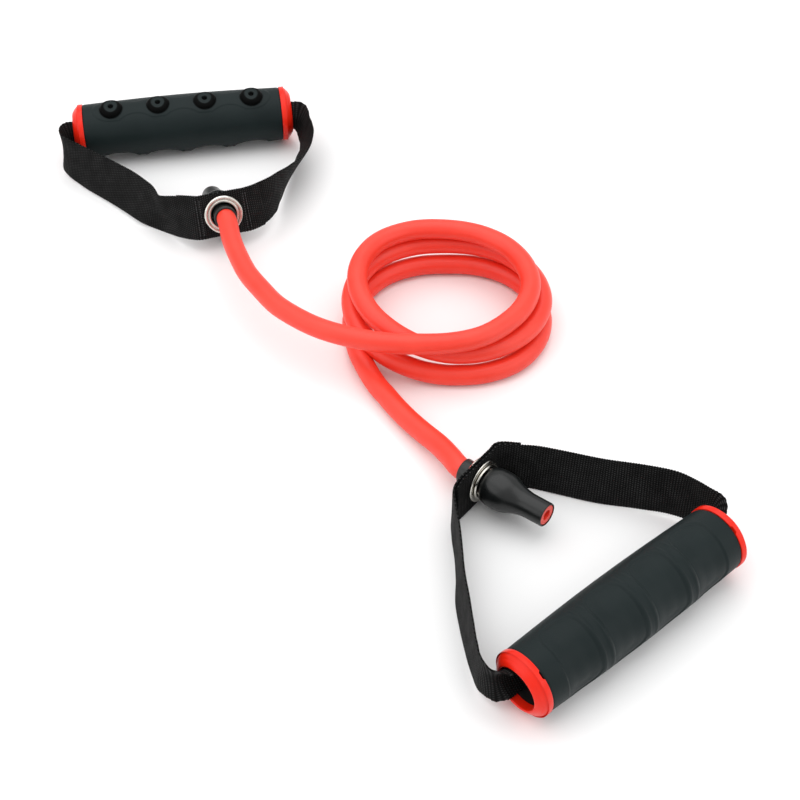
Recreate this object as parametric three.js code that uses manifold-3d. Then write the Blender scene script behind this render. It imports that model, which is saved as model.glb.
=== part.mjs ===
// A resistance band: an elastic tube with a soft-grip handle at each end, each held by a webbing loop.
// It lies on a floor, with the spare tube in a loose round coil between the two handles.
// Millimetres, +Z up. The origin is on the floor, below the middle of the two handles.

import * as THREE from "three";
import { LoftGeometry } from "three/addons/geometries/LoftGeometry.js";
import { mergeVertices } from "three/addons/utils/BufferGeometryUtils.js";
import Module from "manifold-3d";

// ---- driving dimensions ----

const GAP = 0.3; // between pieces that touch

// Elastic tube
const TUBE_RADIUS = 5.5;
const TUBE_BORE_RADIUS = 2.7;
const GRIPPED_RADIUS = 5.2; // where the end sleeve squeezes the tube
const BULGE_RADIUS = 7.3; // where the tube is stretched over the stopper ball
const STOPPER_RADIUS = 4.7;

// Coil of spare tube
const COIL_CENTRE = [52, 34];
const COIL_INNER_RADIUS = 37;
const COIL_OUTER_RADIUS = 59;
const COIL_HEIGHT = 33;

// End sleeve, measured along its axis from the middle of the webbing, tail side positive
const COLLAR_END = -10;
const BULB_CENTRE = 13.5;
const TAIL_END = 39.5;
const COLLAR_RADIUS = 6.3;
const BULB_RADIUS = 10;
const TAIL_RADIUS = 6.1;

// Handle, with its axis along the handle's own X
const GRIP_HALF_LENGTH = 60;
const GRIP_END_RADIUS = 16;
const GRIP_BULGE = 1.3;
const CORE_OUTER_RADIUS = 13.4;
const CORE_BORE_RADIUS = 11.4;
const CORE_HALF_LENGTH = 62;
const CAP_MOUTH_RADIUS = 10.7;
const CAP_LENGTH = 6.6;
const FINGER_SPACING = 27;
const FINGER_WIDTH = 19;
const FINGER_FLOOR_RADIUS = 15.8;
const FINGER_HALF_SPAN = 75; // degrees round the grip
const NUB_SPACING = 28.4;
const NUB_BASE_RADIUS = 7;
const NUB_TOP_RADIUS = 4.2;
const NUB_TOP = 20; // from the handle's axis

// Webbing and its eyelet
const WEB_WIDTH = 25.4;
const WEB_THICKNESS = 1.3;
const LAYER_OFFSET = (WEB_THICKNESS + GAP) / 2;
const WEB_CUP = 0.002; // the webbing's slight curl across its width where it runs free
const BORE_CURL = 1 / 9.6; // its curl inside the handle
const EYELET_FLANGE_RADIUS = 11.15;
const EYELET_HOLE_RADIUS = 6.95;
const EYELET_BARREL_RADIUS = 7.5;
const EYELET_SEAT = WEB_THICKNESS / 2 + LAYER_OFFSET + 0.4; // from the middle of the two layers
const EYELET_SPAN = [14, 9, 0, -9, -14]; // places along the straight webbing through the eyelet
const STITCH_PATCH = [3.5, 19, 0.5]; // along the webbing, across it, thickness

const RUBBER_RED = 0xe8382c;
const RUBBER_BLACK = 0x181a1a;
const GRIP_GREY = 0x2b3534;
const PLASTIC_RED = 0xe23020;
const WEB_BLACK = 0x131314;
const NICKEL = 0xc9c4b8;

// A webbing station is [x, y, height, lean in degrees, curl] in the handle's frame: +Y points to the
// eyelet, lean tips the top edge inwards, and a curl of 1 is the curl inside the handle.
const HANDLE_A = {
  id: "a",
  centre: [-107.8, 199.2],
  axisHeight: 17.5,
  turn: 189.03,
  nubAngle: 80,
  eyelet: [-17.2, 98, 20.8],
  sleeveTurn: 8,
  sleeveTilt: -21.5,
  firstLayer: -1,
  lapStart: [
    [7.5, 92.5, 17.4, 13],
  ],
  lapFinish: [
    [-39.5, 91.5, 20.2, 16],
  ],
  arms: [
    [-48, 82.5, 19.4, 3],
    [-55, 70.5, 17, -13],
    [-62, 55.5, 14.2, -28],
    [-67.5, 41.5, 12.8, -32],
    [-71.5, 29, 12.8, -28],
    [-73.2, 20.5, 13.6, -18],
    [-72.8, 14.8, 15.2, -9, 0.05],
    [-71.2, 11.5, 16.6, -3, 0.25],
    [-69.4, 10, 17.3, 0, 0.6],
    [-67.3, 9.6, 17.5, 0, 1],
    [-64, 9.55, 17.5, 0, 1],
    [-32, 9.55, 17.5, 0, 1],
    [0, 9.55, 17.5, 0, 1],
    [32, 9.55, 17.5, 0, 1],
    [64, 9.55, 17.5, 0, 1],
    [67.2, 9.6, 17.5, 0, 1],
    [69.7, 10.4, 17.5, 1, 0.55],
    [72.5, 12.8, 17.1, 3, 0.18],
    [73.3, 17, 16.2, 6, 0],
    [70.4, 22, 15, 9, 0],
    [65, 27.8, 14.2, 14],
    [57, 36.3, 13.6, 19],
    [46.5, 47.2, 13.3, 22],
    [36, 59.5, 13.6, 25],
    [26.8, 72.5, 14.2, 22],
    [17.5, 83.8, 13.8, 2],
  ],
};

const HANDLE_B = {
  id: "b",
  centre: [126.1, -170.4],
  axisHeight: 17.8,
  turn: 40.26,
  nubAngle: -48,
  eyelet: [5, 100.7, 13],
  sleeveTurn: 11,
  sleeveTilt: 3.2,
  firstLayer: 1,
  lapStart: [
    [26, 95.5, 12.8, -10],
  ],
  lapFinish: [
    [-15, 96.2, 12.9, 0],
  ],
  arms: [
    [-22.3, 88.8, 12.9, 2],
    [-28.8, 79.3, 12.9, 3],
    [-37.1, 68.6, 12.9, 4],
    [-46, 58, 12.9, 7],
    [-54, 46, 13.1, 7],
    [-61.5, 34.5, 13.8, 5],
    [-68, 24, 15.2, 2],
    [-71.6, 16.8, 16.4, 0],
    [-71.6, 12.4, 17.2, 0, 0.12],
    [-69.9, 10.1, 17.6, 0, 0.5],
    [-67.3, 9.6, 17.8, 0, 1],
    [-64, 9.55, 17.8, 0, 1],
    [-32, 9.55, 17.8, 0, 1],
    [0, 9.55, 17.8, 0, 1],
    [32, 9.55, 17.8, 0, 1],
    [64, 9.55, 17.8, 0, 1],
    [67.2, 9.6, 17.8, 0, 1],
    [69.6, 10.2, 17.5, 0, 0.6],
    [71.4, 12.4, 17, 0, 0.25],
    [72, 16.8, 16.4, -3, 0.08],
    [71.6, 23.5, 15.5, -7, 0],
    [68.3, 33.5, 14.9, -12],
    [60, 47, 13.6, -15],
    [49, 61.5, 12.9, -16],
    [39, 76.5, 12.9, -15],
    [31.5, 88, 12.8, -13],
  ],
};

// The tube's free stretches, from each sleeve's collar to the coil.
const LEAD_A = [
  [-71, 90, 26],
  [-68, 76.5, 25.6],
  [-63, 62, 25.2],
  [-57, 48, 25],
  [-49, 35, 25.3],
  [-40, 22, 25.8],
  [-31, 13, 26.4],
  [-21, 5, 27],
  [-13, 0, 27.5],
  [0.4, -5.3, 27.9],
];
const LEAD_B = [
  [54.2, -80.3, 12],
  [51, -74, 11],
  [45.5, -64.5, 9.3],
  [38, -54.5, 7.6],
  [31, -45, 6.4],
  [24.5, -35.5, 5.8],
  [19, -26.5, 5.6],
  [14, -18.7, 5.6],
];

// ---- solids ----

const wasm = await Module();
wasm.setup();

/** A closed geometry as a solid that can be joined and cut. */
function toSolid(geometry) {
  const bare = new THREE.BufferGeometry();
  bare.setAttribute("position", geometry.getAttribute("position"));
  bare.setIndex(geometry.getIndex());
  const merged = mergeVertices(bare, 1e-4);
  return new wasm.Manifold(
    new wasm.Mesh({
      numProp: 3,
      vertProperties: merged.attributes.position.array,
      triVerts: new Uint32Array(merged.index.array),
    }),
  );
}

/** A solid as a geometry that a mesh can show. */
function toGeometry(solid) {
  const mesh = solid.getMesh();
  const geometry = new THREE.BufferGeometry();
  geometry.setAttribute("position", new THREE.BufferAttribute(mesh.vertProperties, 3));
  geometry.setIndex(new THREE.BufferAttribute(mesh.triVerts, 1));
  geometry.computeVertexNormals();
  return geometry;
}

/** A turned piece about +Z from [height, radius] points, anticlockwise round its section. */
function turned(profile, segments) {
  const points = profile.map(([height, radius]) => new THREE.Vector2(radius, height));
  return new THREE.LatheGeometry(points, segments).rotateX(Math.PI / 2);
}

/** A turned ring: its section closes on itself. */
function turnedRing(profile, segments) {
  return turned([...profile, profile[0]], segments);
}

/** A plain pin about +Z, used to cut round holes. */
function pin(radius, from, to, segments) {
  return turned([[from, 0], [from, radius], [to, radius], [to, 0]], segments);
}

function piece(name, geometry, color, roughness, metalness = 0) {
  const material = new THREE.MeshStandardMaterial({ color, roughness, metalness });
  const mesh = new THREE.Mesh(geometry, material);
  mesh.name = name;
  return mesh;
}

const radians = THREE.MathUtils.degToRad;

// ---- handle: grip, core tube and end caps, about X ----

/** The grip's outer radius at a place along it: a slight barrel. */
function gripRadius(x) {
  return GRIP_END_RADIUS + GRIP_BULGE * Math.cos((Math.PI * x) / (2 * GRIP_HALF_LENGTH));
}

/** The shallow rest for one finger: a sector of a ring, cut out of the grip. */
function fingerRest(x, direction) {
  const half = radians(FINGER_HALF_SPAN);
  const outer = GRIP_END_RADIUS + GRIP_BULGE + 2;
  const shape = new THREE.Shape();
  shape.absarc(0, 0, outer, -half, half, false);
  shape.absarc(0, 0, FINGER_FLOOR_RADIUS, half, -half, true);
  const settings = { depth: FINGER_WIDTH, bevelEnabled: false, curveSegments: 6 };
  return new THREE.ExtrudeGeometry(shape, settings)
    .rotateZ(direction)
    .translate(0, 0, x - FINGER_WIDTH / 2);
}

/** One rounded nub with a dimple in its top. */
function nub(x, direction) {
  const profile = [
    [GRIP_END_RADIUS - 1.5, 0],
    [GRIP_END_RADIUS - 1.5, NUB_BASE_RADIUS],
    [GRIP_END_RADIUS + 1, NUB_BASE_RADIUS],
    [GRIP_END_RADIUS + 2.3, NUB_BASE_RADIUS - 1.3],
    [NUB_TOP - 0.5, NUB_TOP_RADIUS],
    [NUB_TOP, NUB_TOP_RADIUS - 0.9],
    [NUB_TOP, 1.9],
    [NUB_TOP - 1.7, 1.5],
    [NUB_TOP - 1.7, 0],
  ];
  return turned(profile, 10).rotateY(Math.PI / 2).rotateZ(direction).translate(0, 0, x);
}

/** The soft grip about +Z, with nubs along one side and finger rests along the other. */
function gripSolid(nubAngle) {
  const steps = 10;
  const profile = [[-GRIP_HALF_LENGTH, CORE_OUTER_RADIUS + GAP]];
  for (let i = 0; i <= steps; i++) {
    const x = GRIP_HALF_LENGTH * ((2 * i) / steps - 1);
    profile.push([x, gripRadius(x)]);
  }
  profile.push([GRIP_HALF_LENGTH, CORE_OUTER_RADIUS + GAP]);
  let solid = toSolid(turnedRing(profile, 28));
  for (const step of [-1.5, -0.5, 0.5, 1.5]) {
    solid = solid.add(toSolid(nub(step * NUB_SPACING, nubAngle)));
    solid = solid.subtract(toSolid(fingerRest(step * FINGER_SPACING, nubAngle + Math.PI)));
  }
  return solid;
}

function coreTube() {
  return turnedRing(
    [
      [-CORE_HALF_LENGTH, CORE_BORE_RADIUS],
      [-CORE_HALF_LENGTH, CORE_OUTER_RADIUS],
      [CORE_HALF_LENGTH, CORE_OUTER_RADIUS],
      [CORE_HALF_LENGTH, CORE_BORE_RADIUS],
    ],
    28,
  );
}

/** The end cap for the +Z end: a band and a domed face, seated on the end of the core tube. */
function endCap() {
  const seat = GRIP_HALF_LENGTH + GAP;
  const shoulder = CORE_HALF_LENGTH + GAP;
  const face = GRIP_HALF_LENGTH + CAP_LENGTH;
  return turnedRing(
    [
      [seat, CORE_OUTER_RADIUS + GAP],
      [seat, GRIP_END_RADIUS + 0.1],
      [seat + 0.4, GRIP_END_RADIUS + 0.35],
      [seat + 2.6, GRIP_END_RADIUS + 0.35],
      [face - 4.1, GRIP_END_RADIUS],
      [face - 2.7, GRIP_END_RADIUS - 0.8],
      [face - 1.6, GRIP_END_RADIUS - 1.9],
      [face - 0.3, CAP_MOUTH_RADIUS + 1.5],
      [face, CAP_MOUTH_RADIUS + 0.8],
      [face - 0.4, CAP_MOUTH_RADIUS + 0.2],
      [face - 1.4, CAP_MOUTH_RADIUS],
      [shoulder, CAP_MOUTH_RADIUS],
      [shoulder, CORE_OUTER_RADIUS + GAP],
    ],
    24,
  );
}

function buildGrip(handle) {
  const { id } = handle;
  // The quarter turn about Y below lays the axis along X and takes +X to -Z.
  const nubAngle = radians(90 + handle.nubAngle);
  const grip = toGeometry(gripSolid(nubAngle)).rotateY(Math.PI / 2);
  const group = new THREE.Group();
  group.position.z = handle.axisHeight;
  group.add(
    piece(`grip_${id}`, grip, GRIP_GREY, 0.75),
    piece(`core_tube_${id}`, coreTube().rotateY(Math.PI / 2), RUBBER_BLACK, 0.5),
    piece(`end_cap_${id}_right`, endCap().rotateY(Math.PI / 2), PLASTIC_RED, 0.35),
    piece(`end_cap_${id}_left`, endCap().rotateY(-Math.PI / 2), PLASTIC_RED, 0.35),
  );
  return group;
}

// ---- webbing loop ----

/** The unit vector of the sleeve's axis, from the tube side to the handle side. */
function sleeveDirection(handle) {
  const turn = radians(handle.sleeveTurn);
  const tilt = radians(handle.sleeveTilt);
  return new THREE.Vector3(
    Math.sin(turn) * Math.cos(tilt),
    -Math.cos(turn) * Math.cos(tilt),
    Math.sin(tilt),
  );
}

/** The overlapped ends: a straight stretch through the eyelet, and the webbing to each side of it. */
function lapStations(handle, layer) {
  const [x, y, z] = handle.eyelet;
  const turn = radians(handle.sleeveTurn);
  const straight = EYELET_SPAN.map((along) => [
    x + along * Math.cos(turn),
    y + along * Math.sin(turn),
    z,
    -handle.sleeveTilt,
  ]);
  return [...handle.lapStart, ...straight, ...handle.lapFinish].map(([a, b, c, lean]) => [
    a,
    b,
    c,
    lean,
    0,
    layer,
  ]);
}

/** Every station of the loop: one lap, out to one end of the handle, through it, back, and the other lap. */
function loopStations(handle) {
  return [
    ...lapStations(handle, handle.firstLayer),
    ...handle.arms,
    ...lapStations(handle, -handle.firstLayer),
  ];
}

/** The webbing's middle line and pose as two curves through the same stations. */
function loopCurves(handle) {
  const stations = loopStations(handle);
  const line = stations.map(([x, y, z]) => new THREE.Vector3(x, y, z));
  const pose = stations.map(
    ([, , , lean, curl = 0, layer = 0]) => new THREE.Vector3(radians(lean), curl * BORE_CURL, layer),
  );
  return {
    count: stations.length,
    line: new THREE.CatmullRomCurve3(line, false, "centripetal"),
    pose: new THREE.CatmullRomCurve3(pose, false, "catmullrom", 0.3),
  };
}

/** Position, width direction and inward normal of the webbing at a place along its loop. */
function webFrame(curves, t) {
  const tangent = curves.line.getTangent(t);
  const { x: lean, y: curl, z: layer } = curves.pose.getPoint(t);
  const inward = new THREE.Vector3(0, 0, 1).cross(tangent).normalize();
  const up = tangent.clone().cross(inward).normalize();
  const across = up.multiplyScalar(Math.cos(lean)).addScaledVector(inward, Math.sin(lean));
  const normal = across.clone().cross(tangent).normalize();
  const point = curves.line.getPoint(t).addScaledVector(normal, layer * -LAYER_OFFSET);
  return { point, tangent, across, normal, curl: Math.max(curl, WEB_CUP) };
}

/** One section of the webbing: a thin strip, bent to an arc where it curls. */
function webSection(curves, t) {
  const { point, across, normal, curl } = webFrame(curves, t);
  const columns = 6;
  const outside = [];
  const inside = [];
  for (let i = 0; i <= columns; i++) {
    const width = WEB_WIDTH * (i / columns - 0.5);
    const angle = width * curl;
    const reach = Math.sin(angle) / curl;
    const drop = (1 - Math.cos(angle)) / curl;
    const middle = point.clone().addScaledVector(across, reach).addScaledVector(normal, -drop);
    const facing = normal.clone().multiplyScalar(Math.cos(angle)).addScaledVector(across, Math.sin(angle));
    outside.push(middle.clone().addScaledVector(facing, -WEB_THICKNESS / 2));
    inside.unshift(middle.clone().addScaledVector(facing, WEB_THICKNESS / 2));
  }
  return [...outside, ...inside].reverse();
}

/** Turns +Z to a direction. */
function aim(direction) {
  return new THREE.Quaternion().setFromUnitVectors(new THREE.Vector3(0, 0, 1), direction);
}

/** The webbing strip with the eyelet's hole through both of its ends. */
function webbing(handle, curves) {
  const perStation = 2;
  const steps = (curves.count - 1) * perStation;
  const sections = [];
  for (let i = 0; i <= steps; i++) sections.push(webSection(curves, i / steps));
  const strip = new LoftGeometry(sections, { capStart: true, capEnd: true });
  const hole = pin(EYELET_BARREL_RADIUS + GAP, -6, 6, 20)
    .applyQuaternion(aim(sleeveDirection(handle)))
    .translate(...handle.eyelet);
  return toGeometry(toSolid(strip).subtract(toSolid(hole)));
}

/** The eyelet about +Z: a flange with two rolled ridges, and a barrel clinched on the handle's side. */
function eyelet() {
  const clinch = EYELET_SEAT + 1.05;
  return turnedRing(
    [
      [-EYELET_SEAT - 0.55, EYELET_HOLE_RADIUS],
      [-EYELET_SEAT - 1.45, EYELET_HOLE_RADIUS + 0.65],
      [-EYELET_SEAT - 1.45, EYELET_HOLE_RADIUS + 1.65],
      [-EYELET_SEAT - 0.95, EYELET_HOLE_RADIUS + 2.05],
      [-EYELET_SEAT - 1.35, EYELET_HOLE_RADIUS + 2.55],
      [-EYELET_SEAT - 1.35, EYELET_FLANGE_RADIUS - 0.55],
      [-EYELET_SEAT - 0.65, EYELET_FLANGE_RADIUS],
      [-EYELET_SEAT - 0.15, EYELET_FLANGE_RADIUS],
      [-EYELET_SEAT, EYELET_FLANGE_RADIUS - 0.55],
      [-EYELET_SEAT, EYELET_BARREL_RADIUS],
      [clinch, EYELET_BARREL_RADIUS],
      [clinch, EYELET_BARREL_RADIUS + 1.4],
      [clinch + 0.4, EYELET_BARREL_RADIUS + 1.7],
      [clinch + 1, EYELET_BARREL_RADIUS + 0.9],
      [clinch + 1, EYELET_BARREL_RADIUS - 0.1],
      [clinch + 0.4, EYELET_HOLE_RADIUS],
    ],
    18,
  );
}

/** The washer about +Z, on the handle's side of the webbing. */
function washer() {
  return turnedRing(
    [
      [EYELET_SEAT, EYELET_BARREL_RADIUS + GAP],
      [EYELET_SEAT, EYELET_FLANGE_RADIUS],
      [EYELET_SEAT + 0.45, EYELET_FLANGE_RADIUS],
      [EYELET_SEAT + 0.75, EYELET_FLANGE_RADIUS - 0.55],
      [EYELET_SEAT + 0.75, EYELET_BARREL_RADIUS + GAP],
    ],
    20,
  );
}

/** A row of stitching on the outer face of the overlap, across the webbing. */
function stitchRow(name, curves, station) {
  const { point, tangent, across, normal } = webFrame(curves, station / (curves.count - 1));
  const [along, width, thickness] = STITCH_PATCH;
  const mesh = piece(name, new THREE.BoxGeometry(along, width, thickness), WEB_BLACK, 0.9);
  const clearance = WEB_THICKNESS / 2 + GAP + thickness / 2 + 0.15;
  mesh.position.copy(point).addScaledVector(normal, -clearance);
  const facing = tangent.clone().cross(across);
  mesh.quaternion.setFromRotationMatrix(new THREE.Matrix4().makeBasis(tangent, across, facing));
  return mesh;
}

function buildLoop(handle) {
  const { id } = handle;
  const curves = loopCurves(handle);
  const lap = handle.lapStart.length + EYELET_SPAN.length + handle.lapFinish.length;
  const outerLap = handle.firstLayer > 0 ? 0 : curves.count - lap;
  const straightStart = outerLap + handle.lapStart.length;
  const group = new THREE.Group();
  group.add(
    piece(`strap_${id}`, webbing(handle, curves), WEB_BLACK, 0.9),
    stitchRow(`stitching_${id}_left`, curves, straightStart + 0.2),
    stitchRow(`stitching_${id}_right`, curves, straightStart + 3.8),
  );
  const fitting = new THREE.Group();
  fitting.position.set(...handle.eyelet);
  fitting.quaternion.copy(aim(sleeveDirection(handle)));
  fitting.add(
    piece(`eyelet_${id}`, eyelet(), NICKEL, 0.2, 1),
    piece(`eyelet_washer_${id}`, washer(), NICKEL, 0.2, 1),
  );
  group.add(fitting);
  return group;
}

// ---- tube, end sleeves and stoppers ----

/** Points along a round bulge between two radii, for a turned profile. */
function bulge(from, to, low, high, count) {
  const points = [];
  for (let i = 0; i <= count; i++) {
    const share = i / count;
    const rise = Math.sin(Math.PI * share) ** 0.7;
    points.push([from + (to - from) * share, low + (high - low) * rise]);
  }
  return points;
}

/** The rubber sleeve about +Z: a collar, a bulb over the stopper with a steep shoulder, and a plain tail. */
function endSleeve() {
  const bore = GRIPPED_RADIUS + GAP;
  return turnedRing(
    [
      [COLLAR_END, bore + 0.1],
      [COLLAR_END, COLLAR_RADIUS - 0.2],
      [COLLAR_END + 0.7, COLLAR_RADIUS + 0.15],
      [COLLAR_END + 3, COLLAR_RADIUS],
      [3.9, COLLAR_RADIUS],
      [4.3, COLLAR_RADIUS + 0.3],
      [5.2, BULB_RADIUS - 1.6],
      [8.5, BULB_RADIUS - 0.3],
      [13, BULB_RADIUS],
      [18, BULB_RADIUS - 0.7],
      [22, BULB_RADIUS - 2.4],
      [25.5, TAIL_RADIUS + 0.4],
      [29, TAIL_RADIUS + 0.05],
      [TAIL_END - 0.6, TAIL_RADIUS],
      [TAIL_END, TAIL_RADIUS - 0.2],
      [TAIL_END, bore],
      [23, bore],
      [20.5, BULGE_RADIUS - 0.7],
      [17, BULGE_RADIUS + 0.2],
      [BULB_CENTRE, BULGE_RADIUS + 0.4],
      [10, BULGE_RADIUS],
      [6.5, BULGE_RADIUS - 1.3],
      [5, bore],
    ],
    14,
  );
}

/** The stretch of tube inside the sleeve, about +Z, bulged over the stopper ball. */
function grippedTube() {
  const start = BULB_CENTRE - 6.5;
  const finish = BULB_CENTRE + 6.5;
  const outside = [
    [COLLAR_END - 2, TUBE_RADIUS],
    [COLLAR_END - 0.6, TUBE_RADIUS],
    [COLLAR_END + 1.2, GRIPPED_RADIUS],
    ...bulge(start, finish, GRIPPED_RADIUS, BULGE_RADIUS, 6),
    [TAIL_END - 0.3, GRIPPED_RADIUS],
  ];
  const inside = [
    [COLLAR_END - 2, TUBE_BORE_RADIUS],
    ...bulge(start, finish, TUBE_BORE_RADIUS, STOPPER_RADIUS + GAP, 6),
    [TAIL_END - 0.3, TUBE_BORE_RADIUS],
  ];
  return turnedRing([...outside, ...inside.reverse()], 10);
}

/** The handle's group: it turns the handle's own frame to where the handle lies. */
function handleGroup(handle) {
  const group = new THREE.Group();
  group.position.set(handle.centre[0], handle.centre[1], 0);
  group.rotation.z = radians(handle.turn);
  group.updateMatrixWorld(true);
  return group;
}

/** The eyelet's place and the sleeve's direction in the frame of the whole band. */
function sleevePlace(handle) {
  const { matrixWorld } = handleGroup(handle);
  return {
    origin: new THREE.Vector3(...handle.eyelet).applyMatrix4(matrixWorld),
    direction: sleeveDirection(handle).transformDirection(matrixWorld),
  };
}

/** One end of the tube: the stretch inside its sleeve, and the free lead out to the coil. */
function tubeLead(handle, route) {
  const { origin, direction } = sleevePlace(handle);
  const start = origin.clone().addScaledVector(direction, COLLAR_END - 1.4);
  const points = [start, ...route.map((place) => new THREE.Vector3(...place))];
  const section = new THREE.Shape().absarc(0, 0, TUBE_RADIUS, 0, 2 * Math.PI, false);
  section.holes.push(new THREE.Path().absarc(0, 0, TUBE_BORE_RADIUS, 0, 2 * Math.PI, true));
  const lead = new THREE.ExtrudeGeometry(section, {
    steps: route.length + 2,
    curveSegments: 5,
    bevelEnabled: false,
    extrudePath: new THREE.CatmullRomCurve3(points, false, "centripetal"),
  });
  const gripped = grippedTube().applyQuaternion(aim(direction)).translate(...origin);
  return toGeometry(toSolid(lead).add(toSolid(gripped)));
}

/** The outer shape of the coiled stretch of tube: a flat-sided ring that lies on the floor. */
function coil() {
  const round = 3;
  return turnedRing(
    [
      [0, COIL_INNER_RADIUS + round],
      [0, COIL_OUTER_RADIUS - round],
      [round, COIL_OUTER_RADIUS],
      [COIL_HEIGHT - round, COIL_OUTER_RADIUS],
      [COIL_HEIGHT, COIL_OUTER_RADIUS - round],
      [COIL_HEIGHT, COIL_INNER_RADIUS + round],
      [COIL_HEIGHT - round, COIL_INNER_RADIUS],
      [round, COIL_INNER_RADIUS],
    ],
    36,
  );
}

/** The rubber sleeve and the stopper ball at one end of the tube. */
function buildSleeve(handle) {
  const { origin, direction } = sleevePlace(handle);
  const group = new THREE.Group();
  group.position.copy(origin);
  group.quaternion.copy(aim(direction));
  const stopper = piece(
    `stopper_ball_${handle.id}`,
    new THREE.SphereGeometry(STOPPER_RADIUS, 12, 8),
    RUBBER_BLACK,
    0.4,
  );
  stopper.position.z = BULB_CENTRE;
  group.add(piece(`end_sleeve_${handle.id}`, endSleeve(), RUBBER_BLACK, 0.45), stopper);
  return group;
}

// ---- the whole band ----

const band = new THREE.Group();

for (const handle of [HANDLE_A, HANDLE_B]) {
  const group = handleGroup(handle);
  group.add(buildGrip(handle), buildLoop(handle));
  band.add(group, buildSleeve(handle));
}

const coilMesh = piece("tube_coil", coil(), RUBBER_RED, 0.4);
coilMesh.position.set(...COIL_CENTRE, 0);
band.add(
  coilMesh,
  piece("tube_lead_a", tubeLead(HANDLE_A, LEAD_A), RUBBER_RED, 0.4),
  piece("tube_lead_b", tubeLead(HANDLE_B, LEAD_B), RUBBER_RED, 0.4),
);

export default band;
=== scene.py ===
"""A tube resistance band on a pale floor: the looks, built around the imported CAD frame. Metres, +Z up."""

import math

import bpy
import numpy as np
from mathutils import Matrix, Vector


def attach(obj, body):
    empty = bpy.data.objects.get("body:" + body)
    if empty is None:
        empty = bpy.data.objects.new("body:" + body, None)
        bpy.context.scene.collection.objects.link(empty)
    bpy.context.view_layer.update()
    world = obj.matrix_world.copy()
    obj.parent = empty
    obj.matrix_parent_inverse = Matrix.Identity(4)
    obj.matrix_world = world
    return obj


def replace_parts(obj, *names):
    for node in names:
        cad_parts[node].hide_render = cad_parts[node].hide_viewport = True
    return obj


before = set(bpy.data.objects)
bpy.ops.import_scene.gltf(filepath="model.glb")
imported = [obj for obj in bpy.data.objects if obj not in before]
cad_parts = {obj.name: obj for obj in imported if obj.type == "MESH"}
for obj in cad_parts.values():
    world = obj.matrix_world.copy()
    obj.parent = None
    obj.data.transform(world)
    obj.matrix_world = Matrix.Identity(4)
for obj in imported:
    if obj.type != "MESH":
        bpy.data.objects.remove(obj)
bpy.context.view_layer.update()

MM = 0.001

# ---- driving dimensions: the CAD model's, apart from the tube's bore and the nubs' height ----

TUBE_RADIUS = 5.5 * MM
TUBE_BORE_RADIUS = 2.6 * MM
GRIPPED_RADIUS = 5.2 * MM  # the tube inside its sleeve
BULGE_RADIUS = 7.3 * MM  # the tube over its stopper
STOPPER_RADIUS = 4.7 * MM

# Places along a sleeve's axis, from the middle of the webbing, tail side positive
COLLAR_END = -10 * MM
BULB_START = 4 * MM
BULB_CENTRE = 13.5 * MM
TAIL_END = 39.5 * MM
MOUTH_DEPTH = 9 * MM

GRIP_HALF_LENGTH = 60 * MM
GRIP_END_RADIUS = 16 * MM
GRIP_BULGE = 1.3 * MM
GRIP_BORE_RADIUS = 13.7 * MM
CORE_OUTER_RADIUS = 13.4 * MM
CORE_BORE_RADIUS = 11.4 * MM
CORE_HALF_LENGTH = 62 * MM
CAP_MOUTH_RADIUS = 10.7 * MM
CAP_LENGTH = 6.6 * MM
GAP = 0.3 * MM
FINGER_SPACING = 27 * MM
NUB_SPACING = 28.4 * MM
FINGER_CENTRES = [step * FINGER_SPACING for step in (-1.5, -0.5, 0.5, 1.5)]
NUB_CENTRES = [step * NUB_SPACING for step in (-1.5, -0.5, 0.5, 1.5)]
NUB_TOP = 19.5 * MM
NOTCH_FROM_NUBS = 168  # degrees round the handle
NOTCH_HALF_WIDTH = 0.125  # radians round the cap

WEB_WIDTH = 25.4 * MM
WEB_THICKNESS = 1.3 * MM
LAYER_OFFSET = 0.8 * MM
BORE_CURL = 1 / (9.6 * MM)  # the webbing's curl inside a handle
WEB_CUP = 2.0  # the webbing's slight curl across its width where it runs free, per metre
WEAVE_PITCH = 1.3 * MM  # along the webbing
THREAD_PITCH = 1.1 * MM  # across it
EYELET_SPAN = [14 * MM, 9 * MM, 0, -9 * MM, -14 * MM]  # along the straight webbing through the eyelet
STITCH_ROWS = [12.6 * MM, 14.2 * MM]  # from the eyelet along the webbing, on each side of it
EYELET_BARREL_RADIUS = 7.5 * MM
EYELET_HOLE_RADIUS = 6.95 * MM
EYELET_FLANGE_RADIUS = 11.15 * MM
EYELET_SEAT = WEB_THICKNESS / 2 + LAYER_OFFSET + 0.4 * MM  # from the middle of the two layers

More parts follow.
